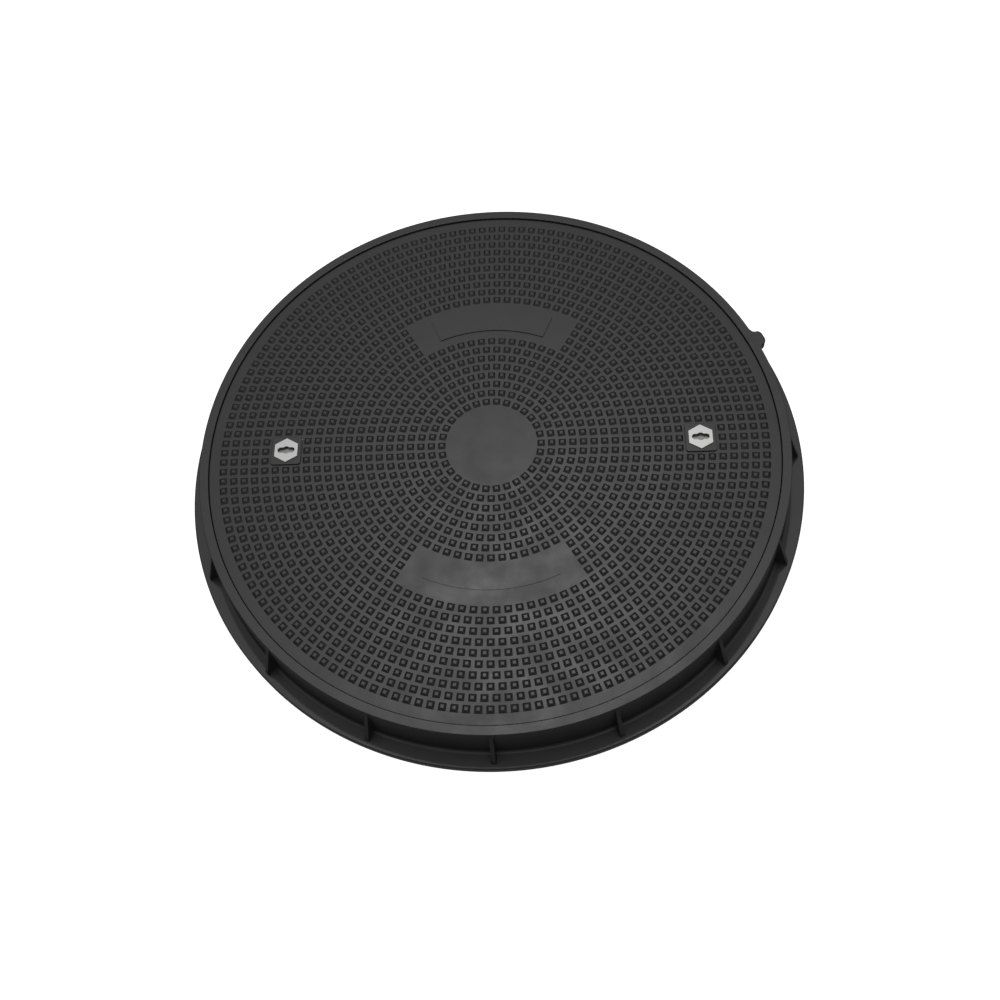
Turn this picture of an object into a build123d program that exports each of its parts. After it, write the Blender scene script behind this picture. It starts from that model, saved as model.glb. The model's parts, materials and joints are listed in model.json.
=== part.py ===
"""Round manhole cover and frame, load class D400, moulded in glass-fibre composite.

The frame is a ring with a base flange, gussets and an inner seat. The cover drops into it, on a
rubber gasket, and is held down by two quarter-turn locks that are worked from the top with a key.
Millimetres, +Z up. The origin is the centre of the frame's underside, and the two locks lie on X.
"""

import math
import os

from build123d import *

# ---- overall sizes ----
cover_diameter = 900.0
frame_height = 90.0

# ---- frame ----
rim_width = 14.5
rim_edge_round = 1.0
rim_lead_in = 0.8  # bevel round the rim's inner edge, which guides the cover in
cover_gap = 0.5  # radial gap between the cover and the rim
wall_draft = 3.5  # how much further out the wall stands at its foot than at the rim
wall_foot_round = 5.5
flange_reach = 30.5  # from the rim's outer face to the flange's edge
flange_thickness = 16.0
flange_edge_round = 2.0
ledge_reach = 30.5  # from the rim's inner face to the clear opening
ledge_thickness = 14.0
pocket_wall = 19.0  # wall below the ledge, measured in from the rim's outer face
ground_clearance = 3.0  # from the frame's underside up to the lowest point of the locks

gusset_count = 16
gusset_thickness = 6.0
gusset_toe_inset = 8.0  # from the flange's edge to the gusset's toe
gusset_top_drop = 4.0  # from the rim's top to the gusset's upper end
gusset_toe_height = 3.0
gusset_edge_round = 2.0

lug_root_width = 36.0
lug_tip_width = 25.0
lug_tip_round = 9.5
lug_reach = 14.0  # how far the lug's tip stands out of the rim
lug_thickness = 16.0

# ---- cover ----
cover_draft = 2.5
cover_edge_round = 0.6
margin_width = 17.5
margin_drop = 3.5  # the smooth margin lies this far below the rim's top
field_drop = 3.0  # the floor of the studded field lies this far below the rim's top
plate_thickness = 12.0
skirt_width = 26.0
rib_count = 12
rib_thickness = 8.0
ring_rib_shares = (1 / 3, 0.6)  # of the cover's radius
hub_radius = 40.0

name_plate_inner_share = 0.48  # of the cover's radius
name_plate_outer_share = 0.571
name_plate_sweep = 46.0
name_plate_height = 1.6
data_strip_inner_share = 0.507
data_strip_outer_share = 0.547
data_strip_sweep = 50.0
data_strip_height = 0.8

# ---- gasket ----
gasket_width = 16.0
gasket_groove_depth = 3.0
gasket_side_gap = 0.3
gasket_top_gap = 0.3
gasket_proud = 3.0
gasket_edge_round = 1.0

# ---- locks ----
lock_inset = 123.0  # from the cover's edge in to a lock's axis
running_clearance = 0.05
press_clearance = 0.1
face_gap = 0.1
key_pad_drop = 0.5
key_pad_round = 5.0
key_pad_edge_round = 0.8
key_pad_side_margin = 5.25  # pad left beside the hexagonal head, along X
key_pad_end_margin = 3.35  # pad left beyond the head's points, along Y
head_overlap = 1.25  # how far the head's flats stand out over the barrel
head_thickness = 1.6
head_gap = 0.2
head_edge_chamfer = 0.4
barrel_diameter = 35.0
barrel_roof = 1.9
socket_height = 3.0
barrel_wall = 3.0
slot_end_wall = 0.75  # from the slot's ends to the socket's wall
slot_width = 9.6
slot_bulge_diameter = 13.6
spindle_diameter = 20.0
square_share = 0.7  # of the spindle's diameter
thread_share = 0.6
o_ring_section = 2.3
o_ring_groove_width = 3.2
o_ring_wall_gap = 0.35
o_ring_lift = 5.0  # from the barrel's foot to the O-ring's middle
housing_wall = 4.95
housing_floor = 19.6
housing_flange_thickness = 5.0
housing_top_drop = 4.0  # from the pad's top to the housing's mouth
boss_edge = 0.5  # how far the boss stands out past the housing's flange
thrust_washer_thickness = 1.9
thrust_washer_wall = 7.0
latch_gap = 2.7  # from the ledge's underside to the latch bar
latch_thickness = 10.0
latch_width = 24.0
latch_overlap = 19.0  # how far the bar reaches under the ledge
latch_hub_wall = 6.0
latch_end_round = 6.0
latch_edge_chamfer = 0.8
washer_thickness = 2.5
washer_wall = 6.0
spring_washer_thickness = 3.0
spring_washer_wall = 4.5
spring_washer_slit = 2.0
nut_wall = 3.5
nut_height = 10.0
thread_end_length = 1.5
thread_end_chamfer = 1.0
screw_head_radius = 5.0
screw_radius = 2.5
screw_length = 14.0
screw_hole_spare = 3.0
screw_flange_margin = 1.5  # flange left outside the screw heads
screw_angles = (135.0, 315.0)
stop_pin_radius = 3.0
stop_pin_along = 22.0  # from the lock's axis, along the latch bar
stop_pin_gap = 0.3
stop_pin_spare = 1.0  # how much shorter the pin is than the bar is deep

# ---- values that follow from the ones above: the frame, from the ground up ----
lug_angle = 360.0 / gusset_count
cover_radius = cover_diameter / 2
rim_inner_radius = cover_radius + cover_gap
rim_outer_radius = rim_inner_radius + rim_width
flange_radius = rim_outer_radius + flange_reach
wall_foot_radius = rim_outer_radius + wall_draft
ledge_inner_radius = rim_inner_radius - ledge_reach
pocket_radius = rim_outer_radius - pocket_wall
gasket_inner = (ledge_inner_radius + rim_inner_radius - gasket_width) / 2
gasket_outer = gasket_inner + gasket_width

thread_end = ground_clearance
nut_bottom = thread_end + thread_end_length
spring_washer_bottom = nut_bottom + nut_height
washer_bottom = spring_washer_bottom + spring_washer_thickness
latch_bottom = washer_bottom + washer_thickness
latch_top = latch_bottom + latch_thickness
housing_base = latch_top + thrust_washer_thickness + face_gap
ledge_bottom = latch_top + latch_gap
ledge_top = ledge_bottom + ledge_thickness
seat_height = ledge_top + gasket_proud + gasket_top_gap  # the cover's seating face

# ---- the cover, from the top down ----
margin_top = frame_height - margin_drop
field_top = frame_height - field_drop
field_radius = cover_radius - margin_width
plate_bottom = field_top - plate_thickness
skirt_outer_foot = cover_radius - cover_draft
skirt_inner_radius = skirt_outer_foot - skirt_width
pad_top = frame_height - key_pad_drop

# ---- the locks, from the axis out ----
lock_radius = cover_radius - lock_inset
barrel_radius = barrel_diameter / 2
socket_diameter = barrel_diameter - 2 * barrel_wall
slot_length = socket_diameter - 2 * slot_end_wall
head_across_flats = barrel_diameter + 2 * head_overlap
head_across_points = head_across_flats / math.cos(math.radians(30))
key_pad_width = head_across_flats + 2 * key_pad_side_margin
key_pad_length = head_across_points + 2 * key_pad_end_margin
spindle_square = spindle_diameter * square_share
thread_diameter = spindle_diameter * thread_share
latch_reach = ledge_inner_radius + latch_overlap - lock_radius
latch_hub_radius = spindle_diameter / 2 + latch_hub_wall
thrust_washer_radius = spindle_diameter / 2 + thrust_washer_wall
washer_radius = thread_diameter / 2 + washer_wall
spring_washer_radius = thread_diameter / 2 + spring_washer_wall
nut_across_flats = thread_diameter + 2 * nut_wall
housing_bore_radius = barrel_radius + running_clearance
housing_radius = housing_bore_radius + housing_wall
boss_bore_radius = housing_radius + press_clearance
screw_circle_radius = housing_radius + screw_head_radius - screw_radius / 5
housing_flange_radius = screw_circle_radius + screw_head_radius + screw_flange_margin
boss_radius = housing_flange_radius + boss_edge
head_base = pad_top + head_gap
head_top = head_base + head_thickness
housing_top = pad_top - housing_top_drop
housing_step = housing_base + housing_floor
barrel_bottom = housing_step + face_gap
boss_bottom = housing_base + housing_flange_thickness
o_ring_groove_radius = housing_bore_radius - o_ring_wall_gap - o_ring_section
o_ring_height = barrel_bottom + o_ring_lift
stop_pin_bottom = latch_bottom + stop_pin_spare
stop_pin_across = latch_width / 2 + stop_pin_radius + stop_pin_gap
screw_head_depth = screw_head_radius - screw_radius
stop_pin_places = ((-stop_pin_across, -stop_pin_along), (stop_pin_along, stop_pin_across))

os.makedirs("parts", exist_ok=True)


def write(part, label):
    """Names a finished piece and writes it to its own file."""
    part.label = label
    export_step(part, f"parts/{label}.step")


# ---- one gusset, drawn in the plane through the axis; the frame takes it all the way round ----
with BuildPart() as gusset:
    gusset_toe = flange_radius - gusset_toe_inset
    gusset_root = rim_inner_radius + (rim_outer_radius - rim_inner_radius) / 2
    with BuildSketch(Plane.XZ):
        with BuildLine():
            Polyline(
                (gusset_root, flange_thickness / 2),
                (gusset_toe, flange_thickness / 2),
                (gusset_toe, flange_thickness + gusset_toe_height),
                (rim_outer_radius, frame_height - gusset_top_drop),
                (gusset_root, frame_height - gusset_top_drop),
                close=True,
            )
        make_face()
    extrude(amount=gusset_thickness / 2, both=True)
    slope_edges = gusset.faces().filter_by(
        lambda f: f.normal_at().Z > 0.05 and f.normal_at().X > 0.5
    ).edges().filter_by(lambda e: e.length > frame_height / 3)
    fillet(slope_edges, gusset_edge_round)


# ---- frame ring: flange, wall, rim, inner ledge, gussets and lug ----
with BuildPart() as frame_ring:
    with BuildSketch(Plane.XZ):
        with BuildLine():
            Polyline(
                (pocket_radius, 0),
                (flange_radius, 0),
                (flange_radius, flange_thickness),
                (wall_foot_radius, flange_thickness),
                (rim_outer_radius, frame_height),
                (rim_inner_radius, frame_height),
                (rim_inner_radius, ledge_top),
                (gasket_outer + gasket_side_gap, ledge_top),
                (gasket_outer + gasket_side_gap, ledge_top - gasket_groove_depth),
                (gasket_inner - gasket_side_gap, ledge_top - gasket_groove_depth),
                (gasket_inner - gasket_side_gap, ledge_top),
                (ledge_inner_radius, ledge_top),
                (ledge_inner_radius, ledge_bottom),
                (pocket_radius, ledge_bottom),
                close=True,
            )
        make_face()
    revolve(axis=Axis.Z)
    rim_edges = frame_ring.edges().filter_by(GeomType.CIRCLE).group_by(Axis.Z)[-1]
    fillet(rim_edges.sort_by(lambda e: e.radius)[-1], rim_edge_round)
    rim_edges = frame_ring.edges().filter_by(GeomType.CIRCLE).group_by(Axis.Z)[-1]
    chamfer(rim_edges.sort_by(lambda e: e.radius)[0], rim_lead_in)
    foot = frame_ring.edges().filter_by(GeomType.CIRCLE).filter_by(
        lambda e: abs(e.radius - wall_foot_radius) < 0.01
    )
    fillet(foot, wall_foot_round)
    flange_edges = frame_ring.edges().filter_by(GeomType.CIRCLE).filter_by(
        lambda e: abs(e.radius - flange_radius) < 0.01 and e.center().Z > flange_thickness / 2
    )
    fillet(flange_edges, flange_edge_round)

    with PolarLocations(0, gusset_count):
        add(gusset.part)

    # The lug stands out of the rim above one gusset, wide at its root and rounded at its tip.
    with BuildSketch(Plane.XY.offset(frame_height - lug_thickness)):
        with PolarLocations(0, 1, start_angle=lug_angle):
            with BuildLine():
                Polyline(
                    (rim_outer_radius - 4 * rim_edge_round, -lug_root_width / 2),
                    (rim_outer_radius - 4 * rim_edge_round, lug_root_width / 2),
                    (rim_outer_radius + lug_reach, lug_tip_width / 2),
                    (rim_outer_radius + lug_reach, -lug_tip_width / 2),
                    close=True,
                )
            make_face()
    extrude(amount=lug_thickness)
    lug_corners = frame_ring.edges().filter_by(Axis.Z).filter_by(
        lambda e: math.hypot(e.center().X, e.center().Y) > rim_outer_radius + lug_reach - 1
    )
    fillet(lug_corners, lug_tip_round)
write(frame_ring.part, "frame_ring")


# ---- seat gasket ----
with BuildPart() as seat_gasket:
    with BuildSketch(Plane.XY.offset(ledge_top - gasket_groove_depth)):
        Circle(gasket_outer)
        Circle(gasket_inner, mode=Mode.SUBTRACT)
    extrude(amount=gasket_groove_depth + gasket_proud)
    fillet(seat_gasket.edges().group_by(Axis.Z)[-1], gasket_edge_round)
write(seat_gasket.part, "seat_gasket")


# ---- cover plate ----
with BuildPart() as cover_plate:
    with BuildSketch(Plane.XZ):
        with BuildLine():
            Polyline(
                (0, plate_bottom),
                (skirt_inner_radius - 2, plate_bottom),
                (skirt_inner_radius, seat_height),
                (skirt_outer_foot, seat_height),
                (cover_radius, margin_top),
                (field_radius, margin_top),
                (field_radius, field_top),
                (0, field_top),
                close=True,
            )
        make_face()
    revolve(axis=Axis.Z)
    edge_circle = cover_plate.edges().filter_by(GeomType.CIRCLE).filter_by(
        lambda e: abs(e.radius - cover_radius) < 0.01
    )
    fillet(edge_circle, cover_edge_round)

    # Ribs under the plate: a hub, rings, and straight ribs out to the skirt.
    with BuildSketch(Plane.XY.offset(seat_height)):
        Circle(hub_radius)
        for share in ring_rib_shares:
            ring_radius = share * cover_radius
            with BuildSketch(mode=Mode.PRIVATE) as ring_rib:
                Circle(ring_radius + rib_thickness / 2)
                Circle(ring_radius - rib_thickness / 2, mode=Mode.SUBTRACT)
            add(ring_rib.sketch)
        rib_length = skirt_inner_radius - hub_radius + rib_thickness
        rib_middle = (skirt_inner_radius + hub_radius) / 2
        with PolarLocations(rib_middle, rib_count, start_angle=180.0 / rib_count):
            Rectangle(rib_length, rib_thickness)
    extrude(amount=plate_bottom - seat_height)

    # Bosses that carry the locks, and the flat pads above them.
    with BuildSketch(Plane.XY.offset(boss_bottom)):
        with PolarLocations(lock_radius, 2):
            Circle(boss_radius)
    extrude(amount=plate_bottom - boss_bottom)
    with BuildSketch(Plane.XY.offset(field_top)):
        with PolarLocations(lock_radius, 2):
            RectangleRounded(key_pad_width, key_pad_length, key_pad_round)
    extrude(amount=pad_top - field_top)
    pad_edges = cover_plate.edges().group_by(Axis.Z)[-1]
    fillet(pad_edges, key_pad_edge_round)
    with BuildSketch(Plane.XY.offset(boss_bottom)):
        with PolarLocations(lock_radius, 2):
            Circle(boss_bore_radius)
    extrude(amount=housing_top - boss_bottom + face_gap, mode=Mode.SUBTRACT)
    with BuildSketch(Plane.XY.offset(housing_top)):
        with PolarLocations(lock_radius, 2):
            Circle(housing_bore_radius + press_clearance)
    extrude(amount=pad_top, mode=Mode.SUBTRACT)
    with BuildSketch(Plane.XY.offset(boss_bottom)):
        for side in (0.0, 180.0):
            for angle in screw_angles:
                turn = math.radians(angle + side)
                centre = lock_radius if side == 0.0 else -lock_radius
                with Locations(
                    (
                        centre + screw_circle_radius * math.cos(turn),
                        screw_circle_radius * math.sin(turn),
                    )
                ):
                    Circle(screw_radius)
    extrude(amount=screw_length - housing_flange_thickness + screw_hole_spare, mode=Mode.SUBTRACT)

    # Blank raised plates in the two plain zones of the field.
    name_plate_inner = name_plate_inner_share * cover_radius
    name_plate_outer = name_plate_outer_share * cover_radius
    with BuildSketch(Plane.XZ.rotated((0, 0, 90.0 - name_plate_sweep / 2))):
        with Locations(((name_plate_inner + name_plate_outer) / 2, field_top)):
            Rectangle(name_plate_outer - name_plate_inner, 2 * name_plate_height)
    revolve(axis=Axis.Z, revolution_arc=name_plate_sweep)
    data_strip_inner = data_strip_inner_share * cover_radius
    data_strip_outer = data_strip_outer_share * cover_radius
    with BuildSketch(Plane.XZ.rotated((0, 0, 270.0 - data_strip_sweep / 2))):
        with Locations(((data_strip_inner + data_strip_outer) / 2, field_top)):
            Rectangle(data_strip_outer - data_strip_inner, 2 * data_strip_height)
    revolve(axis=Axis.Z, revolution_arc=data_strip_sweep)
write(cover_plate.part, "cover_plate")


def lock_side(side):
    """Rotation about Z that carries the right-hand lock to this side."""
    return 0.0 if side == "right" else 180.0


def lock_plane(side, height):
    """A level plane at the lock's axis, turned with the lock."""
    turn = lock_side(side)
    x = lock_radius if side == "right" else -lock_radius
    return Plane(origin=(x, 0, height), x_dir=(math.cos(math.radians(turn)), 0, 0), z_dir=(0, 0, 1))


# ---- the two locks: every piece below is made once for each side ----
for side in ("left", "right"):
    # Key plug: hexagonal head with the key slot, hollow barrel, spindle, square and thread.
    with BuildPart() as key_plug:
        with BuildSketch(lock_plane(side, head_base)):
            RegularPolygon(head_across_flats / 2, 6, major_radius=False, rotation=30)
        extrude(amount=head_top - head_base)
        chamfer(key_plug.edges().group_by(Axis.Z)[-1], head_edge_chamfer)
        with BuildSketch(lock_plane(side, barrel_bottom)):
            Circle(barrel_radius)
        extrude(amount=head_base - barrel_bottom)
        with BuildSketch(lock_plane(side, head_base - barrel_roof - socket_height)):
            Circle(socket_diameter / 2)
        extrude(amount=socket_height, mode=Mode.SUBTRACT)
        with BuildSketch(lock_plane(side, head_base - barrel_roof)):
            SlotOverall(slot_length, slot_width)
            Circle(slot_bulge_diameter / 2)
        extrude(amount=barrel_roof + head_thickness, mode=Mode.SUBTRACT)
        with BuildSketch(lock_plane(side, o_ring_height - o_ring_groove_width / 2)):
            Circle(barrel_radius + 1)
            Circle(o_ring_groove_radius, mode=Mode.SUBTRACT)
        extrude(amount=o_ring_groove_width, mode=Mode.SUBTRACT)
        with BuildSketch(lock_plane(side, latch_top)):
            Circle(spindle_diameter / 2)
        extrude(amount=barrel_bottom - latch_top)
        with BuildSketch(lock_plane(side, latch_bottom)):
            Rectangle(spindle_square, spindle_square)
        extrude(amount=latch_thickness)
        with BuildSketch(lock_plane(side, thread_end)):
            Circle(thread_diameter / 2)
        extrude(amount=latch_bottom - thread_end)
        chamfer(key_plug.edges().group_by(Axis.Z)[0], thread_end_chamfer)
    write(key_plug.part, f"key_plug_{side}")

    with BuildPart() as plug_o_ring:
        ring_axis = lock_plane(side, o_ring_height)
        section_radius = o_ring_section / 2
        with Locations(ring_axis.location):
            Torus(o_ring_groove_radius + section_radius, section_radius)
    write(plug_o_ring.part, f"plug_o_ring_{side}")

    # Housing: a tube in the cover's boss, with a bearing for the spindle and a screwed flange.
    with BuildPart() as lock_housing:
        with BuildSketch(lock_plane(side, housing_base)):
            Circle(housing_radius)
        extrude(amount=housing_top - housing_base)
        with BuildSketch(lock_plane(side, housing_base)):
            Circle(housing_flange_radius)
        extrude(amount=housing_flange_thickness)
        with BuildSketch(lock_plane(side, housing_step)):
            Circle(housing_bore_radius)
        extrude(amount=housing_top - housing_step, mode=Mode.SUBTRACT)
        with BuildSketch(lock_plane(side, housing_base)):
            Circle(spindle_diameter / 2 + running_clearance)
            with Locations(*stop_pin_places):
                Circle(stop_pin_radius)
        extrude(amount=housing_step - housing_base, mode=Mode.SUBTRACT)
        for angle in screw_angles:
            turn = math.radians(angle)
            spot = (screw_circle_radius * math.cos(turn), screw_circle_radius * math.sin(turn))
            with BuildSketch(lock_plane(side, housing_base)):
                with Locations(spot):
                    Circle(screw_head_radius)
            with BuildSketch(lock_plane(side, housing_base + screw_head_depth)):
                with Locations(spot):
                    Circle(screw_radius)
            loft(mode=Mode.SUBTRACT)
            with BuildSketch(lock_plane(side, housing_base)):
                with Locations(spot):
                    Circle(screw_radius)
            extrude(amount=housing_flange_thickness, mode=Mode.SUBTRACT)
    write(lock_housing.part, f"lock_housing_{side}")

    with BuildPart() as thrust_washer:
        with BuildSketch(lock_plane(side, latch_top)):
            Circle(thrust_washer_radius)
            Circle(spindle_diameter / 2 + running_clearance, mode=Mode.SUBTRACT)
        extrude(amount=thrust_washer_thickness)
    write(thrust_washer.part, f"thrust_washer_{side}")

    # Latch bar, at rest alongside the ledge and clear of it; a quarter turn takes it underneath.
    with BuildPart() as latch_bar:
        with BuildSketch(lock_plane(side, latch_bottom)):
            Circle(latch_hub_radius)
            with Locations((0, -latch_reach / 2)):
                Rectangle(latch_width, latch_reach)
            Rectangle(
                spindle_square + 2 * running_clearance,
                spindle_square + 2 * running_clearance,
                mode=Mode.SUBTRACT,
            )
        extrude(amount=latch_thickness)
        tip = latch_bar.edges().filter_by(Axis.Z).filter_by(
            lambda e: abs(e.center().Y) > latch_reach - 1
        )
        fillet(tip, latch_end_round)
        chamfer(
            latch_bar.faces().filter_by(Axis.Z).sort_by(Axis.Z)[-1].outer_wire().edges(), latch_edge_chamfer
        )
    write(latch_bar.part, f"latch_bar_{side}")

    with BuildPart() as flat_washer:
        with BuildSketch(lock_plane(side, washer_bottom)):
            Circle(washer_radius)
            Circle(thread_diameter / 2 + running_clearance, mode=Mode.SUBTRACT)
        extrude(amount=washer_thickness)
    write(flat_washer.part, f"flat_washer_{side}")

    with BuildPart() as spring_washer:
        with BuildSketch(lock_plane(side, spring_washer_bottom)):
            Circle(spring_washer_radius)
            Circle(thread_diameter / 2 + running_clearance, mode=Mode.SUBTRACT)
            with Locations((spring_washer_radius, 0)):
                Rectangle(spring_washer_radius, spring_washer_slit, mode=Mode.SUBTRACT)
        extrude(amount=spring_washer_thickness)
    write(spring_washer.part, f"spring_washer_{side}")

    with BuildPart() as lock_nut:
        with BuildSketch(lock_plane(side, nut_bottom)):
            RegularPolygon(nut_across_flats / 2, 6, major_radius=False)
            Circle(thread_diameter / 2 + running_clearance, mode=Mode.SUBTRACT)
        extrude(amount=nut_height)
    write(lock_nut.part, f"lock_nut_{side}")


# ---- fasteners of both housings ----
with BuildPart() as housing_screws:
    for side in ("left", "right"):
        for angle in screw_angles:
            turn = math.radians(angle)
            spot = (screw_circle_radius * math.cos(turn), screw_circle_radius * math.sin(turn))
            with BuildSketch(lock_plane(side, housing_base)):
                with Locations(spot):
                    Circle(screw_head_radius)
            with BuildSketch(lock_plane(side, housing_base + screw_head_depth)):
                with Locations(spot):
                    Circle(screw_radius)
            loft()
            with BuildSketch(lock_plane(side, housing_base + screw_head_depth)):
                with Locations(spot):
                    Circle(screw_radius)
            extrude(amount=screw_length - screw_head_depth)
write(housing_screws.part, "housing_screws")

with BuildPart() as stop_pins:
    for side in ("left", "right"):
        with BuildSketch(lock_plane(side, stop_pin_bottom)):
            with Locations(*stop_pin_places):
                Circle(stop_pin_radius)
        extrude(amount=boss_bottom - stop_pin_bottom)
write(stop_pins.part, "stop_pins")
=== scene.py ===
import json
import math

import bpy
from mathutils import Matrix, Vector

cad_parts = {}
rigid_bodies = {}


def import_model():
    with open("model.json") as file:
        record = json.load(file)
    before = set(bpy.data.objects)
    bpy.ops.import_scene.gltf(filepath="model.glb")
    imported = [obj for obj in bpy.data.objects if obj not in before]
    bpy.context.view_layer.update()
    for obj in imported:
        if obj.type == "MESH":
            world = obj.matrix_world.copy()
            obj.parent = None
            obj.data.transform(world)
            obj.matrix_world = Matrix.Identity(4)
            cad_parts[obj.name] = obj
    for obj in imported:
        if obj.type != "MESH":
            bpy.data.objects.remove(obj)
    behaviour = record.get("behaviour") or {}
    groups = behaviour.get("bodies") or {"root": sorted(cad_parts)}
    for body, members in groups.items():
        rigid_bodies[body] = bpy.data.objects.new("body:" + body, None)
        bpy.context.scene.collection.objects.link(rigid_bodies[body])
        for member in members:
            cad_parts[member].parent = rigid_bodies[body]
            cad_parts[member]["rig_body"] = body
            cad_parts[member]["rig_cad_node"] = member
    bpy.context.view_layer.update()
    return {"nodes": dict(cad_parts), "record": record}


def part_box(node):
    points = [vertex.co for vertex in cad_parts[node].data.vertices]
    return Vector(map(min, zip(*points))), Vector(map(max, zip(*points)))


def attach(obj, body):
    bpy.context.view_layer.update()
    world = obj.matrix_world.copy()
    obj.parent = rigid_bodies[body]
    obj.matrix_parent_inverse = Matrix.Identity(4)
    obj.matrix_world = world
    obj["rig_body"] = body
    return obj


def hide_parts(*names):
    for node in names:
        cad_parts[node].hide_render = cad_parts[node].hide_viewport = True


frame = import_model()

bl_info = {
    "name": "Composite manhole cover",
    "version": (1, 0, 0),
    "blender": (4, 5, 0),
    "location": "3D View > Sidebar > Manhole cover",
    "description": "Builds a studded composite manhole cover, its frame and its two locks",
    "category": "Object",
}

MM = 0.001
PICK_MARGIN = 0.1 * MM  # how far off a level the limit of a pick is set
NODES = frame["nodes"]
_, FRAME_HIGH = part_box("frame_ring")
PLUG_LOW, PLUG_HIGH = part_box("key_plug_right")
SIDES = ("left", "right")

TOP = FRAME_HIGH.z  # level of the rim and of the studs' tops
FLANGE_RADIUS = FRAME_HIGH.x
LOCK_RADIUS = (PLUG_LOW.x + PLUG_HIGH.x) / 2

RIM_LEAD_IN = 0.8 * MM  # bevel round the rim's inner edge
RIM_EDGE_ROUND = 1.0 * MM
FLANGE_EDGE_ROUND = 2 * MM
LEDGE_RADIUS = 420 * MM  # clear opening inside the ledge
LEDGE_THICKNESS = 14 * MM
GROOVE_DEPTH = 3 * MM
GROOVE_SIDE_GAP = 0.3 * MM
GASKET_WIDTH = 16 * MM
POCKET_INSET = 19 * MM  # from the rim's outer face in to the hollow under the ledge

GUSSET_ROOT_INSET = 6 * MM  # how far a gusset's root starts outside the rim's bore
GUSSET_SUNK = 3 * MM  # how deep a gusset's foot goes into the flange
GUSSET_TOE_INSET = 7.5 * MM  # from the flange's edge in to a gusset's toe
GUSSET_TOE_HEIGHT = 3 * MM
GUSSET_TOP_DROP = 4 * MM  # from the rim's top down to a gusset's top
GUSSET_FLARE = 3.5 * MM  # how far up its roots a gusset widens
GUSSET_FLARE_STEPS = ((1.0, 1.0), (0.45, 1.3), (0.02, 1.7))  # share of the flare, widening there
GUSSET_EDGE_ROUND = 1.4 * MM

LUG_THICKNESS = 16 * MM
LUG_REACH = 14 * MM
LUG_TOP_DROP = 0.04 * MM  # keeps the lug's top from falling together with the rim's
LUG_EDGE_ROUND = 1.0 * MM
LUG_ROOT_HALF = 22 * MM
LUG_NECK_HALF = 13.5 * MM
LUG_TIP_HALF = 13 * MM

STUD_SUNK = 0.3 * MM  # how deep a stud's foot goes into the plate
STUD_EDGE_BEVEL = 0.5 * MM
FIRST_RING_STUDS = 30
STUDS_ADDED = 6  # how many more studs a ring has than the one inside it
KEY_PAD_REACH = Vector((32 * MM, 30 * MM))  # no stud stands this near to a lock's axis
PLAIN_ZONE_RINGS = (7.5, 11.5)  # in pitches out from the first ring
PLAIN_ZONE_HALF_ANGLE = math.radians(31.5)

SMOOTH_ANGLE = math.radians(32)  # edges sharper than this stay crisp
SOCKET_PAINTED_SHADE = 0.65  # share of the steel's colour kept inside a key socket against the face: painted shade in the recess

SURROUND_LIGHT = 0.15
KEY_PLACE = (-0.2, 2.1, 6.75)
KEY_POWER = 92
KEY_SIZE = 0.3
PANEL_PLACE = (0, 0.2, 2.6)
PANEL_POWER = 82
PANEL_SIZE = 8
FLOOR_RADIUS = 14
FLOOR_DROP = 0.5 * MM
FLOOR_GLOW = 0.9
CAMERA_PLACE = Vector((0.1181, -0.8758, TOP + 1.5677))
CAMERA_AIM = Vector((0.0138, -0.0995, TOP))
CAMERA_ROLL = math.radians(-8.573)
CAMERA_LENS = 41.117
CAMERA_REACH = 60


# ---------------------------------------------------------------- sizes and colours


class FrameSizes(bpy.types.PropertyGroup):
    """Sizes of the frame, in metres."""

    rim_radius: bpy.props.FloatProperty(
        name="Rim radius", description="Outer radius of the rim", default=465 * MM, unit="LENGTH"
    )
    rim_bore: bpy.props.FloatProperty(
        name="Rim bore", description="Inner radius of the rim", default=450.5 * MM, unit="LENGTH"
    )
    wall_draft: bpy.props.FloatProperty(
        name="Wall draft", description="How far the wall's foot stands out", default=3.5 * MM, unit="LENGTH"
    )
    foot_round: bpy.props.FloatProperty(
        name="Foot round", description="Radius between wall and flange", default=5.5 * MM, unit="LENGTH"
    )
    flange_thickness: bpy.props.FloatProperty(
        name="Flange thickness", description="Thickness of the base flange", default=16 * MM, unit="LENGTH"
    )
    gusset_count: bpy.props.IntProperty(
        name="Gussets", description="Gussets round the wall", default=16, min=4
    )
    gusset_thickness: bpy.props.FloatProperty(
        name="Gusset thickness", description="Thickness of one gusset", default=6 * MM, unit="LENGTH"
    )


class CoverSizes(bpy.types.PropertyGroup):
    """Sizes of the cover's studded top, in metres."""

    stud_rings: bpy.props.IntProperty(
        name="Stud rings", description="Rings of studs", default=22, min=1
    )
    first_ring: bpy.props.FloatProperty(
        name="First ring",
        description="Radius of the innermost ring of studs",
        default=78.5 * MM,
        unit="LENGTH",
    )
    pitch: bpy.props.FloatProperty(
        name="Pitch", description="Distance from ring to ring", default=16.6 * MM, unit="LENGTH"
    )
    stud_base: bpy.props.FloatProperty(
        name="Stud base", description="Width of a stud at its foot", default=12.4 * MM, unit="LENGTH"
    )
    stud_top: bpy.props.FloatProperty(
        name="Stud top", description="Width of a stud at its top", default=5.2 * MM, unit="LENGTH"
    )
    stud_drop: bpy.props.FloatProperty(
        name="Field depth",
        description="Depth of the field below the studs' tops",
        default=3 * MM,
        unit="LENGTH",
    )


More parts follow.
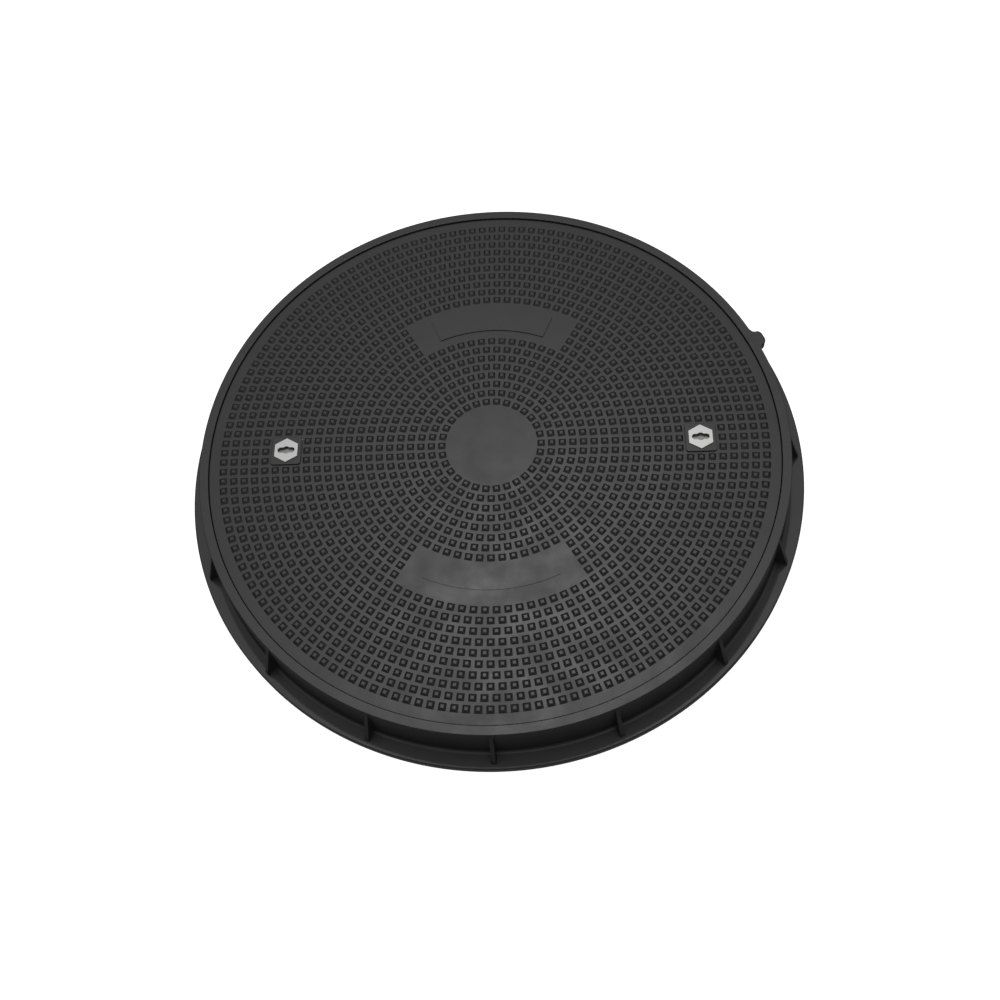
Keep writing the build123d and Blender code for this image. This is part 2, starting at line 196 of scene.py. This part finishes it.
class Colours(bpy.types.PropertyGroup):
    """Colours as sRGB hex values."""

    cover: bpy.props.StringProperty(
        name="Cover", description="Moulded composite of the cover", default="1e1e1f"
    )
    frame: bpy.props.StringProperty(
        name="Frame", description="Moulded composite of the frame", default="242425"
    )
    steel: bpy.props.StringProperty(
        name="Stainless steel", description="Key plugs, washers and nuts", default="b6b6b4"
    )
    plated: bpy.props.StringProperty(
        name="Plated steel", description="Housings and screws", default="b4b6ba"
    )
    bronze: bpy.props.StringProperty(
        name="Bronze", description="Thrust washers", default="c69a58"
    )
    iron: bpy.props.StringProperty(
        name="Cast iron", description="Latch bars", default="55565a"
    )
    rubber: bpy.props.StringProperty(
        name="Rubber", description="Gasket and O-rings", default="1b1b1c"
    )


# ---------------------------------------------------------------- materials


def linear(hex_colour):
    """An sRGB hex value as the linear colour that a shader takes."""
    channels = [int(hex_colour[i : i + 2], 16) / 255 for i in (0, 2, 4)]
    return tuple(c / 12.92 if c <= 0.04045 else ((c + 0.055) / 1.055) ** 2.4 for c in channels) + (1.0,)


def add_node(tree, kind, settings=None, values=None, links=None):
    """Adds a shader node with its settings, its socket values and its incoming links."""
    node = tree.nodes.new(kind)
    for name, value in (settings or {}).items():
        setattr(node, name, value)
    for name, value in (values or {}).items():
        node.inputs[name].default_value = value
    for name, source in (links or {}).items():
        tree.links.new(source, node.inputs[name])
    return node


def new_material(name, **values):
    """A material with one Principled shader, whose even values sit on its own sockets."""
    material = bpy.data.materials.new(name)
    material.use_nodes = True
    shader = material.node_tree.nodes["Principled BSDF"]
    for socket, value in values.items():
        shader.inputs[socket.replace("_", " ")].default_value = value
    return material, material.node_tree, shader


def tone_ramp(tree, factor, colour, low, high):
    """A colour that runs between two lightnesses of itself, as a factor rises from 0.3 to 0.7."""
    ramp = add_node(tree, "ShaderNodeValToRGB", links={"Fac": factor})
    ramp.color_ramp.elements[0].position = 0.3
    ramp.color_ramp.elements[0].color = tuple(c * low for c in colour[:3]) + (1.0,)
    ramp.color_ramp.elements[1].position = 0.7
    ramp.color_ramp.elements[1].color = tuple(c * high for c in colour[:3]) + (1.0,)
    return ramp.outputs["Color"]


def moulded_composite(name, hex_colour):
    """Glass-fibre composite, hot-pressed in a textured mould.

    The pressed skin is a satin dark grey. It shows faint fibre clouds some centimetres across, a
    fine grain, and small changes of gloss, so that large faces never look printed.
    """
    colour = linear(hex_colour)
    material, tree, shader = new_material(name, IOR=1.5)
    place = add_node(tree, "ShaderNodeTexCoord").outputs["Object"]
    cloud_size = 45 * MM
    grain_size = 1.1 * MM  # drawn coarser than the real 0.3 mm, so that it shows
    clouds = add_node(
        tree, "ShaderNodeTexNoise",
        values={"Scale": 1 / cloud_size, "Detail": 4.0, "Roughness": 0.55}, links={"Vector": place},
    ).outputs["Fac"]
    grain = add_node(
        tree, "ShaderNodeTexNoise",
        values={"Scale": 1 / grain_size, "Detail": 2.0, "Roughness": 0.6}, links={"Vector": place},
    ).outputs["Fac"]
    tone = add_node(
        tree, "ShaderNodeMath", {"operation": "MULTIPLY_ADD"}, {1: 0.35}, {0: grain, 2: clouds}
    ).outputs[0]
    centred = add_node(tree, "ShaderNodeMath", {"operation": "SUBTRACT"}, {1: 0.175}, {0: tone}).outputs[0]
    tree.links.new(tone_ramp(tree, centred, colour, 0.86, 1.14), shader.inputs["Base Color"])
    gloss = add_node(
        tree, "ShaderNodeMapRange",
        values={"From Min": 0.3, "From Max": 0.7, "To Min": 0.36, "To Max": 0.46}, links={"Value": centred},
    ).outputs["Result"]
    tree.links.new(gloss, shader.inputs["Roughness"])
    relief = add_node(
        tree, "ShaderNodeBump", values={"Strength": 0.35, "Distance": 0.12 * MM}, links={"Height": grain}
    ).outputs["Normal"]
    tree.links.new(relief, shader.inputs["Normal"])
    return material


def brushed_stainless(hex_colour):
    """Stainless steel, linished along X. Fine streaks stretch its highlights across the strokes.

    The belt doesn't reach down into the key sockets, so there the steel stays dull; its colour is also
    darkened there, as painted shade in the recess.
    """
    colour = linear(hex_colour)
    material, tree, shader = new_material("brushed_stainless_steel", Metallic=1.0)
    place = add_node(tree, "ShaderNodeTexCoord").outputs["Object"]
    streak_width = 0.35 * MM
    stretched = add_node(
        tree, "ShaderNodeMapping", values={"Scale": (0.04, 1.0, 1.0)}, links={"Vector": place}
    ).outputs["Vector"]
    streaks = add_node(
        tree, "ShaderNodeTexNoise",
        values={"Scale": 1 / streak_width, "Detail": 3.0, "Roughness": 0.6}, links={"Vector": stretched},
    ).outputs["Fac"]
    height = add_node(tree, "ShaderNodeSeparateXYZ", links={"Vector": place}).outputs["Z"]
    # The socket's span in height: inside it the colour is darkened as painted shade and the gloss is dulled
    socket_top, socket_foot = PLUG_HIGH.z - 2.2 * MM, PLUG_HIGH.z - 14 * MM
    above = add_node(
        tree, "ShaderNodeMapRange",
        values={"From Min": socket_top, "From Max": socket_top + 1 * MM, "To Min": SOCKET_PAINTED_SHADE},
        links={"Value": height},
    ).outputs["Result"]
    below = add_node(
        tree, "ShaderNodeMapRange",
        values={"From Min": socket_foot, "From Max": socket_foot - 2 * MM}, links={"Value": height},
    ).outputs["Result"]
    reach = add_node(tree, "ShaderNodeMath", {"operation": "MAXIMUM"}, links={0: above, 1: below}).outputs[0]
    # The streaked colour, darkened inside the socket as painted shade
    streaks_with_socket_shade = add_node(
        tree, "ShaderNodeVectorMath", {"operation": "SCALE"},
        links={"Vector": tone_ramp(tree, streaks, colour, 0.86, 1.0), "Scale": reach},
    ).outputs["Vector"]
    tree.links.new(streaks_with_socket_shade, shader.inputs["Base Color"])
    fine_gloss = add_node(
        tree, "ShaderNodeMapRange",
        values={"From Min": 0.3, "From Max": 0.7, "To Min": 0.3, "To Max": 0.44}, links={"Value": streaks},
    ).outputs["Result"]
    gloss = add_node(
        tree, "ShaderNodeMath", {"operation": "DIVIDE", "use_clamp": True}, links={0: fine_gloss, 1: reach}
    ).outputs[0]
    tree.links.new(gloss, shader.inputs["Roughness"])
    relief = add_node(
        tree, "ShaderNodeBump", values={"Strength": 0.2, "Distance": 0.03 * MM}, links={"Height": streaks}
    ).outputs["Normal"]
    tree.links.new(relief, shader.inputs["Normal"])
    return material


def speckled(name, hex_colour, metallic, roughness, speck, spread, relief_height):
    """A material whose tone, gloss and relief vary over specks of one size."""
    colour = linear(hex_colour)
    material, tree, shader = new_material(name, Metallic=metallic)
    place = add_node(tree, "ShaderNodeTexCoord").outputs["Object"]
    specks = add_node(
        tree, "ShaderNodeTexNoise",
        values={"Scale": 1 / speck, "Detail": 5.0, "Roughness": 0.62}, links={"Vector": place},
    ).outputs["Fac"]
    tree.links.new(
        tone_ramp(tree, specks, colour, 1 - spread, 1 + spread * (1 - metallic)), shader.inputs["Base Color"]
    )
    gloss = add_node(
        tree, "ShaderNodeMapRange",
        values={"From Min": 0.3, "From Max": 0.7, "To Min": roughness - 0.06, "To Max": roughness + 0.06},
        links={"Value": specks},
    ).outputs["Result"]
    tree.links.new(gloss, shader.inputs["Roughness"])
    relief = add_node(
        tree, "ShaderNodeBump", values={"Strength": 0.5, "Distance": relief_height}, links={"Height": specks}
    ).outputs["Normal"]
    tree.links.new(relief, shader.inputs["Normal"])
    return material


def zinc_plated_steel(hex_colour):
    """Turned steel with a dull zinc coat. Its spangle makes the grey slightly uneven."""
    return speckled("zinc_plated_steel", hex_colour, 1.0, 0.42, 3 * MM, 0.14, 0.02 * MM)


def sintered_bronze(hex_colour):
    """Pressed and sintered bronze. Its pores dull the yellow metal."""
    return speckled("sintered_bronze", hex_colour, 1.0, 0.4, 1 * MM, 0.2, 0.02 * MM)


def sand_cast_iron(hex_colour):
    """Ductile iron as it leaves a sand mould. The sand leaves a rough, mottled dark skin."""
    return speckled("sand_cast_iron", hex_colour, 0.85, 0.62, 2.2 * MM, 0.3, 0.25 * MM)


def moulded_rubber(hex_colour):
    """Black EPDM rubber, moulded. It is matt, with a greyish bloom in faint patches."""
    return speckled("moulded_rubber", hex_colour, 0.0, 0.78, 8 * MM, 0.25, 0.05 * MM)


MATERIALS = {}


def make_materials(colours):
    """Makes each material once, under the name of the record's slot that it finishes."""
    if MATERIALS:
        return
    MATERIALS["moulded_composite_frame"] = moulded_composite("moulded_composite_frame", colours.frame)
    MATERIALS["moulded_composite_cover"] = moulded_composite("moulded_composite_cover", colours.cover)
    MATERIALS["stainless_steel"] = brushed_stainless(colours.steel)
    MATERIALS["zinc_plated_steel"] = zinc_plated_steel(colours.plated)
    MATERIALS["bronze"] = sintered_bronze(colours.bronze)
    MATERIALS["cast_latch"] = sand_cast_iron(colours.iron)
    MATERIALS["gasket_rubber"] = moulded_rubber(colours.rubber)


# ---------------------------------------------------------------- modelling helpers


def clear_selection():
    """Leaves edit mode and deselects everything."""
    if bpy.context.object and bpy.context.object.mode != "OBJECT":
        bpy.ops.object.mode_set(mode="OBJECT")
    bpy.ops.object.select_all(action="DESELECT")


def select_only(piece):
    """Makes one piece the selected and active one."""
    clear_selection()
    piece.select_set(True)
    bpy.context.view_layer.objects.active = piece


def pick(piece, kind, test):
    """Selects the vertices, edges or faces whose middle point and item pass a test, in edit mode."""
    bpy.ops.object.mode_set(mode="EDIT")
    bpy.ops.mesh.select_mode(type=kind)
    bpy.ops.mesh.select_all(action="DESELECT")
    bpy.ops.object.mode_set(mode="OBJECT")
    mesh = piece.data
    if kind == "VERT":
        for item in mesh.vertices:
            item.select = test(item.co, item)
    elif kind == "EDGE":
        for item in mesh.edges:
            ends = [mesh.vertices[i].co for i in item.vertices]
            item.select = test((ends[0] + ends[1]) / 2, item)
    else:
        for item in mesh.polygons:
            item.select = test(item.center, item)
    bpy.ops.object.mode_set(mode="EDIT")


def tidy_mesh(piece, smooth_angle=SMOOTH_ANGLE):
    """Merges doubles, turns the faces outwards and smooths all but the sharp edges."""
    select_only(piece)
    bpy.ops.object.mode_set(mode="EDIT")
    bpy.ops.mesh.select_all(action="SELECT")
    bpy.ops.mesh.remove_doubles(threshold=0.002 * MM)
    bpy.ops.mesh.normals_make_consistent(inside=False)
    bpy.ops.object.mode_set(mode="OBJECT")
    bpy.ops.object.shade_smooth_by_angle(angle=smooth_angle)


def weigh_normals(piece):
    """Turns a piece's shading towards its large faces, so that flat faces read as flat."""
    select_only(piece)
    weighted = piece.modifiers.new("weighted", "WEIGHTED_NORMAL")
    weighted.keep_sharp = True
    bpy.ops.object.modifier_apply(modifier=weighted.name)


def chain(name, corners, plane="XZ"):
    """A new piece that is an open chain of vertices through the corners of an outline.

    A corner is (u, v, cut): its place in the plane, and how far along its edges it is rounded.
    """
    clear_selection()
    spots = [Vector((u, 0, v)) if plane == "XZ" else Vector((u, v, 0)) for u, v, _ in corners]
    bpy.ops.mesh.primitive_plane_add(size=MM, location=spots[0])
    piece = bpy.context.object
    piece.name = name
    piece.data.name = name
    bpy.ops.object.transform_apply(location=True, rotation=False, scale=False)
    bpy.ops.object.mode_set(mode="EDIT")
    bpy.ops.mesh.merge(type="CENTER")
    for here, there in zip(spots, spots[1:]):
        bpy.ops.mesh.extrude_vertices_move(TRANSFORM_OT_translate={"value": there - here})
    return piece


def rounded_outline(name, corners, plane="XZ", segments=6):
    """A closed outline whose corners are rounded as each corner says."""
    piece = chain(name, corners + [corners[0]], plane)
    bpy.ops.mesh.select_all(action="SELECT")
    bpy.ops.mesh.remove_doubles(threshold=0.001 * MM)
    for u, v, cut in corners:
        if cut > 0:
            spot = Vector((u, 0, v)) if plane == "XZ" else Vector((u, v, 0))
            pick(piece, "VERT", lambda place, _: (place - spot).length < 0.01 * MM)
            bpy.ops.mesh.bevel(affect="VERTICES", offset=cut, segments=segments)
    bpy.ops.mesh.select_mode(type="VERT")
    bpy.ops.mesh.select_all(action="SELECT")
    return piece


def turned(name, corners, steps=288):
    """A closed outline turned round Z, with its seam and poles closed."""
    piece = rounded_outline(name, corners)
    bpy.ops.mesh.spin(steps=steps, angle=2 * math.pi, center=(0, 0, 0), axis=(0, 0, 1))
    bpy.ops.object.mode_set(mode="OBJECT")
    tidy_mesh(piece)
    return piece


def place_round(piece, angle):
    """Turns a piece about Z into its place and makes the turn part of its mesh."""
    select_only(piece)
    piece.rotation_euler.z = angle
    bpy.ops.object.transform_apply(location=True, rotation=True, scale=True)


def copy_of(piece, name):
    """A copy of a piece with a mesh of its own."""
    copy = piece.copy()
    copy.data = piece.data.copy()
    copy.name = name
    copy.data.name = name
    bpy.context.scene.collection.objects.link(copy)
    return copy


def finish_piece(piece, body, slot, replaced=()):
    """Gives a piece its material and its body, and hides the CAD nodes that it stands for."""
    piece.data.materials.clear()
    piece.data.materials.append(MATERIALS[slot])
    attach(piece, body)
    if replaced:
        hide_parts(*replaced)


def smoothed_node(node, name):
    """A merged copy of a CAD node, smooth over its curves and crisp at its edges."""
    piece = copy_of(NODES[node], name)
    piece.parent = None
    piece.matrix_world = Matrix.Identity(4)
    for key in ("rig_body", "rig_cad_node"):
        if key in piece:
            del piece[key]
    select_only(piece)
    bpy.ops.mesh.customdata_custom_splitnormals_clear()
    bpy.ops.object.mode_set(mode="EDIT")
    bpy.ops.mesh.select_all(action="SELECT")
    bpy.ops.mesh.remove_doubles(threshold=0.001 * MM)
    bpy.ops.object.mode_set(mode="OBJECT")
    bpy.ops.object.shade_smooth_by_angle(angle=SMOOTH_ANGLE)
    weigh_normals(piece)
    return piece


# ---------------------------------------------------------------- the frame


class MANHOLE_OT_frame_ring(bpy.types.Operator):
    """Turns the frame's flange, wall, rim and inner ledge as one ring."""

    bl_idname = "manhole.frame_ring"
    bl_label = "Frame ring"

    def execute(self, context):
        size = context.scene.manhole_frame
        make_materials(context.scene.manhole_colours)
        gasket_low, gasket_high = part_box("seat_gasket")
        foot = size.rim_radius + size.wall_draft
        seat_top = gasket_low.z + GROOVE_DEPTH
        ledge_bottom = seat_top - LEDGE_THICKNESS
        pocket = size.rim_radius - POCKET_INSET
        groove_outer = gasket_high.x + GROOVE_SIDE_GAP
        groove_inner = gasket_high.x - GASKET_WIDTH - GROOVE_SIDE_GAP
        ring = turned(
            "frame_ring_moulding",
            [
                (pocket, 0, 0.6 * MM),
                (FLANGE_RADIUS, 0, 0.8 * MM),
                (FLANGE_RADIUS, size.flange_thickness, FLANGE_EDGE_ROUND),
                (foot, size.flange_thickness, size.foot_round),
                (size.rim_radius, TOP, RIM_EDGE_ROUND),
                (size.rim_bore + RIM_LEAD_IN, TOP, 0.4 * MM),
                (size.rim_bore, TOP - RIM_LEAD_IN, 0.4 * MM),
                (size.rim_bore, seat_top, 1.5 * MM),
                (groove_outer, seat_top, 0.3 * MM),
                (groove_outer, gasket_low.z, 0),
                (groove_inner, gasket_low.z, 0),
                (groove_inner, seat_top, 0.3 * MM),
                (LEDGE_RADIUS, seat_top, 1.0 * MM),
                (LEDGE_RADIUS, ledge_bottom, 1.0 * MM),
                (pocket, ledge_bottom, 4 * MM),
            ],
        )
        weigh_normals(ring)
        finish_piece(ring, "frame", "moulded_composite_frame", ["frame_ring"])
        return {"FINISHED"}


class MANHOLE_OT_gussets(bpy.types.Operator):
    """Models one gusset with flared roots and sets copies of it all the way round the wall."""

    bl_idname = "manhole.gussets"
    bl_label = "Gussets"

    def execute(self, context):
        size = context.scene.manhole_frame
        half = size.gusset_thickness / 2
        flange = size.flange_thickness
        root = size.rim_bore + GUSSET_ROOT_INSET
        toe = FLANGE_RADIUS - GUSSET_TOE_INSET
        sunk = flange - GUSSET_SUNK
        top = TOP - GUSSET_TOP_DROP
        gusset = rounded_outline(
            "gusset_1",
            [
                (root, sunk, 0),
                (toe, sunk, 0),
                (toe, flange + GUSSET_TOE_HEIGHT, 2.5 * MM),
                (size.rim_radius + 0.3 * MM, top, 1.5 * MM),
                (root, top, 0),
            ],
            segments=4,
        )
        bpy.ops.mesh.edge_face_add()
        bpy.ops.transform.translate(value=(0, -half, 0))
        bpy.ops.mesh.extrude_region_move(TRANSFORM_OT_translate={"value": (0, 2 * half, 0)})
        self.flare_roots(gusset, size, toe)
        bpy.ops.object.mode_set(mode="OBJECT")
        tidy_mesh(gusset, math.radians(50))
        soften = gusset.modifiers.new("soften", "BEVEL")
        soften.width = GUSSET_EDGE_ROUND
        soften.segments = 3
        soften.limit_method = "ANGLE"
        soften.angle_limit = math.radians(60)
        bpy.ops.object.modifier_apply(modifier=soften.name)
        weigh_normals(gusset)
        gussets = [gusset]
        for index in range(1, size.gusset_count):
            gussets.append(copy_of(gusset, f"gusset_{index + 1}"))
        for index, piece in enumerate(gussets):
            place_round(piece, index * 2 * math.pi / size.gusset_count)
            finish_piece(piece, "frame", "moulded_composite_frame")
        return {"FINISHED"}

    def flare_roots(self, gusset, size, toe):
        """Widens a gusset in steps where it meets the flange and the wall, as a small round does."""
        flange = size.flange_thickness
        outward = Vector((1, 0, size.wall_draft / (TOP - flange))).normalized()
        for share, _ in GUSSET_FLARE_STEPS[:2]:
            bpy.ops.mesh.select_all(action="SELECT")
            bpy.ops.mesh.bisect(plane_co=(toe, 0, flange + GUSSET_FLARE * share), plane_no=(0, 0, 1))
            bpy.ops.mesh.select_all(action="SELECT")
            wall = Vector((size.rim_radius + GUSSET_FLARE * share, 0, TOP))
            bpy.ops.mesh.bisect(plane_co=wall, plane_no=outward)
        wall_point = Vector((size.rim_radius, 0, TOP))
        for share, grow in GUSSET_FLARE_STEPS:
            reach = GUSSET_FLARE * share - PICK_MARGIN
            pick(
                gusset,
                "VERT",
                lambda place, _: place.z < flange + reach or (place - wall_point).dot(outward) < reach,
            )
            bpy.ops.transform.resize(value=(1, grow, 1), center_override=(0, 0, 0))


class MANHOLE_OT_lug(bpy.types.Operator):
    """Models the rounded lug that stands out of the rim over one gusset."""

    bl_idname = "manhole.lug"
    bl_label = "Rim lug"

    def execute(self, context):
        size = context.scene.manhole_frame
        top = TOP - LUG_TOP_DROP
        inside = size.rim_radius - 4 * MM
        root = size.rim_radius - 1 * MM
        neck = size.rim_radius + 2.5 * MM
        tip = size.rim_radius + LUG_REACH
        side = [
            (inside, LUG_ROOT_HALF, 0),
            (root, LUG_ROOT_HALF, 0),
            (neck, LUG_NECK_HALF, 5 * MM),
            (tip, LUG_TIP_HALF, 9 * MM),
        ]
        lug = rounded_outline(
            "rim_lug", side + [(x, -y, cut) for x, y, cut in reversed(side)], plane="XY", segments=8
        )
        bpy.ops.mesh.edge_face_add()
        bpy.ops.transform.translate(value=(0, 0, top - LUG_THICKNESS))
        bpy.ops.mesh.extrude_region_move(TRANSFORM_OT_translate={"value": (0, 0, LUG_THICKNESS)})
        bpy.ops.object.mode_set(mode="OBJECT")
        tidy_mesh(lug, math.radians(50))
        pick(
            lug,
            "EDGE",
            lambda place, _: place.x > size.rim_radius + MM
            and (place.z > top - PICK_MARGIN or place.z < top - LUG_THICKNESS + PICK_MARGIN),
        )
        bpy.ops.mesh.bevel(offset=LUG_EDGE_ROUND, segments=3, affect="EDGES")
        bpy.ops.object.mode_set(mode="OBJECT")
        tidy_mesh(lug, math.radians(40))
        weigh_normals(lug)
        place_round(lug, 2 * math.pi / size.gusset_count)
        finish_piece(lug, "frame", "moulded_composite_frame")
        return {"FINISHED"}


# ---------------------------------------------------------------- the cover


class MANHOLE_OT_cover_plate(bpy.types.Operator):
    """Smooths the cover's plate, with its skirt, ribs, bosses and pads."""

    bl_idname = "manhole.cover_plate"
    bl_label = "Cover plate"

    def execute(self, context):
        plate = smoothed_node("cover_plate", "cover_plate_moulding")
        finish_piece(plate, "cover", "moulded_composite_cover", ["cover_plate"])
        return {"FINISHED"}


def stud_blank(size):
    """One stud at the origin: a cube whose top is drawn in, with its edges just broken."""
    clear_selection()
    height = size.stud_drop + STUD_SUNK
    bpy.ops.mesh.primitive_cube_add(
        size=1, location=(0, 0, TOP - height / 2), scale=(size.stud_base, size.stud_base, height)
    )
    stud = bpy.context.object
    bpy.ops.object.transform_apply(location=True, rotation=True, scale=True)
    pick(stud, "FACE", lambda place, face: face.normal.z > 0.9)
    draw_in = size.stud_top / size.stud_base
    bpy.ops.transform.resize(value=(draw_in, draw_in, 1), center_override=(0, 0, TOP))
    pick(stud, "EDGE", lambda place, edge: place.z > TOP - height + PICK_MARGIN)
    bpy.ops.mesh.bevel(offset=STUD_EDGE_BEVEL, segments=1, affect="EDGES")
    pick(stud, "FACE", lambda place, face: face.normal.z < -0.9)
    bpy.ops.mesh.delete(type="FACE")
    bpy.ops.object.mode_set(mode="OBJECT")
    return stud


def on_key_pad(place):
    """Whether a stud at this place would stand on a key pad."""
    return abs(abs(place.x) - LOCK_RADIUS) < KEY_PAD_REACH.x and abs(place.y) < KEY_PAD_REACH.y


def on_plain_zone(place, size):
    """Whether a stud at this place would stand in one of the two plain zones."""
    radius = place.xy.length
    low, high = (size.first_ring + rings * size.pitch for rings in PLAIN_ZONE_RINGS)
    return low < radius < high and abs(place.x) < abs(place.y) * math.tan(PLAIN_ZONE_HALF_ANGLE)


class MANHOLE_OT_studs(bpy.types.Operator):
    """Models one stud and sets it round the cover ring by ring."""

    bl_idname = "manhole.studs"
    bl_label = "Studs"

    def execute(self, context):
        size = context.scene.manhole_cover
        blank = stud_blank(size)
        for ring in range(1, size.stud_rings + 1):
            radius = size.first_ring + (ring - 1) * size.pitch
            count = FIRST_RING_STUDS + STUDS_ADDED * (ring - 1)
            stud = copy_of(blank, f"stud_ring_{ring}")
            select_only(stud)
            stud.location.x = radius
            bpy.ops.object.transform_apply(location=True, rotation=True, scale=True)
            clear_selection()
            bpy.ops.object.empty_add(rotation=(0, 0, 2 * math.pi / count))
            step = bpy.context.object
            select_only(stud)
            array = stud.modifiers.new("round", "ARRAY")
            array.count = count
            array.use_relative_offset = False
            array.use_object_offset = True
            array.offset_object = step
            bpy.ops.object.modifier_apply(modifier=array.name)
            bpy.data.objects.remove(step)
            self.clear_pads(stud, size, radius, count)
            finish_piece(stud, "cover", "moulded_composite_cover")
        bpy.data.objects.remove(blank)
        return {"FINISHED"}

    def clear_pads(self, ring_piece, size, radius, count):
        """Takes away the studs of a ring that would stand on a pad or in a plain zone."""
        pitch_angle = 2 * math.pi / count

        def is_unwanted(place, _):
            index = round(math.atan2(place.y, place.x) / pitch_angle)
            angle = index * pitch_angle
            middle = Vector((radius * math.cos(angle), radius * math.sin(angle), TOP))
            return on_key_pad(middle) or on_plain_zone(middle, size)

        pick(ring_piece, "FACE", is_unwanted)
        bpy.ops.mesh.delete(type="FACE")
        bpy.ops.object.mode_set(mode="OBJECT")


# ---------------------------------------------------------------- the locks and seals


class MANHOLE_OT_key_plugs(bpy.types.Operator):
    """Smooths the two slotted key plugs."""

    bl_idname = "manhole.key_plugs"
    bl_label = "Key plugs"

    def execute(self, context):
        for side in SIDES:
            plug = smoothed_node(f"key_plug_{side}", f"key_plug_turned_{side}")
            finish_piece(plug, f"latch_{side}", "stainless_steel", [f"key_plug_{side}"])
        return {"FINISHED"}


class MANHOLE_OT_lock_parts(bpy.types.Operator):
    """Finishes the housings, latches, washers, nuts, screws and seals."""

    bl_idname = "manhole.lock_parts"
    bl_label = "Lock parts and seals"

    def execute(self, context):
        finish = {part["node"]: part["material_slot"] for part in frame["record"]["subparts"]}
        for name, node in NODES.items():
            node.data.materials.clear()
            node.data.materials.append(MATERIALS[finish[name]])
        return {"FINISHED"}


# ---------------------------------------------------------------- stage


class MANHOLE_OT_stage(bpy.types.Operator):
    """Sets the pale floor, the lights and the camera."""

    bl_idname = "manhole.stage"
    bl_label = "Stage"

    def execute(self, context):
        scene = context.scene
        self.floor()
        self.lights(scene)
        self.camera(scene)
        scene.view_settings.view_transform = "Standard"
        return {"FINISHED"}

    def floor(self):
        """A wide pale floor just under the frame, which throws no light back at it."""
        clear_selection()
        bpy.ops.mesh.primitive_circle_add(
            vertices=96, radius=FLOOR_RADIUS, fill_type="NGON", location=(0, 0, -FLOOR_DROP)
        )
        floor = bpy.context.object
        floor.name = "floor"
        bpy.ops.object.transform_apply(location=True, rotation=True, scale=True)
        pale, _, shader = new_material("pale_floor", Roughness=0.95, IOR=1.2)
        shader.inputs["Base Color"].default_value = linear("c8c8c8")
        shader.inputs["Emission Color"].default_value = (1, 1, 1, 1)
        shader.inputs["Emission Strength"].default_value = FLOOR_GLOW
        floor.data.materials.append(pale)
        floor.visible_diffuse = False
        floor.visible_glossy = False

    def lights(self, scene):
        """A lamp behind and above, a wide soft panel overhead, and a dim surround that looks white."""
        world = bpy.data.worlds.new("studio")
        scene.world = world
        world.use_nodes = True
        tree = world.node_tree
        sight = add_node(tree, "ShaderNodeLightPath").outputs["Is Camera Ray"]
        surround = tree.nodes["Background"]
        surround.inputs["Color"].default_value = (1, 1, 1, 1)
        strength = add_node(
            tree, "ShaderNodeMapRange",
            values={"To Min": SURROUND_LIGHT, "To Max": 1.0}, links={"Value": sight},
        ).outputs["Result"]
        tree.links.new(strength, surround.inputs["Strength"])
        self.lamp("key_lamp", KEY_PLACE, KEY_SIZE, KEY_POWER)
        self.lamp("overhead_panel", PANEL_PLACE, PANEL_SIZE, PANEL_POWER)

    def lamp(self, name, place, size, power):
        """A round soft lamp that is aimed at the cover."""
        clear_selection()
        bpy.ops.object.light_add(type="AREA", location=place)
        lamp = bpy.context.object
        lamp.name = name
        lamp.data.shape = "DISK"
        lamp.data.size = size
        lamp.data.energy = power
        lamp.rotation_euler = (-lamp.location).to_track_quat("-Z", "Y").to_euler()

    def camera(self, scene):
        """Looks down at the cover from the front, tipped a little to one side."""
        clear_selection()
        bpy.ops.object.camera_add(location=CAMERA_PLACE)
        camera = bpy.context.object
        level = (CAMERA_AIM - CAMERA_PLACE).to_track_quat("-Z", "Y").to_matrix().to_4x4()
        roll = Matrix.Rotation(CAMERA_ROLL, 4, "Z")
        camera.matrix_world = Matrix.Translation(CAMERA_PLACE) @ level @ roll
        camera.data.sensor_width = 36
        camera.data.lens = CAMERA_LENS
        camera.data.clip_end = CAMERA_REACH
        scene.camera = camera


# ---------------------------------------------------------------- panel and registration


class MANHOLE_PT_panel(bpy.types.Panel):
    """Lists the pieces of the manhole cover."""

    bl_label = "Manhole cover"
    bl_idname = "MANHOLE_PT_panel"
    bl_space_type = "VIEW_3D"
    bl_region_type = "UI"
    bl_category = "Manhole cover"

    def draw(self, context):
        scene = context.scene
        for group in (scene.manhole_frame, scene.manhole_cover, scene.manhole_colours):
            box = self.layout.box()
            for name in group.__annotations__:
                box.prop(group, name)
        for operator in PIECES:
            self.layout.operator(operator.bl_idname)


PIECES = (
    MANHOLE_OT_frame_ring,
    MANHOLE_OT_gussets,
    MANHOLE_OT_lug,
    MANHOLE_OT_cover_plate,
    MANHOLE_OT_studs,
    MANHOLE_OT_key_plugs,
    MANHOLE_OT_lock_parts,
    MANHOLE_OT_stage,
)
CLASSES = (FrameSizes, CoverSizes, Colours) + PIECES + (MANHOLE_PT_panel,)


def register():
    """Adds the classes and the settings to Blender."""
    for cls in CLASSES:
        bpy.utils.register_class(cls)
    bpy.types.Scene.manhole_frame = bpy.props.PointerProperty(type=FrameSizes)
    bpy.types.Scene.manhole_cover = bpy.props.PointerProperty(type=CoverSizes)
    bpy.types.Scene.manhole_colours = bpy.props.PointerProperty(type=Colours)


def unregister():
    """Takes the settings and the classes away again."""
    del bpy.types.Scene.manhole_colours
    del bpy.types.Scene.manhole_cover
    del bpy.types.Scene.manhole_frame
    for cls in reversed(CLASSES):
        bpy.utils.unregister_class(cls)


def main():
    """Builds every piece in order."""
    register()
    bpy.ops.manhole.frame_ring()
    bpy.ops.manhole.gussets()
    bpy.ops.manhole.lug()
    bpy.ops.manhole.cover_plate()
    bpy.ops.manhole.studs()
    bpy.ops.manhole.key_plugs()
    bpy.ops.manhole.lock_parts()
    bpy.ops.manhole.stage()


if __name__ == "__main__":
    main()
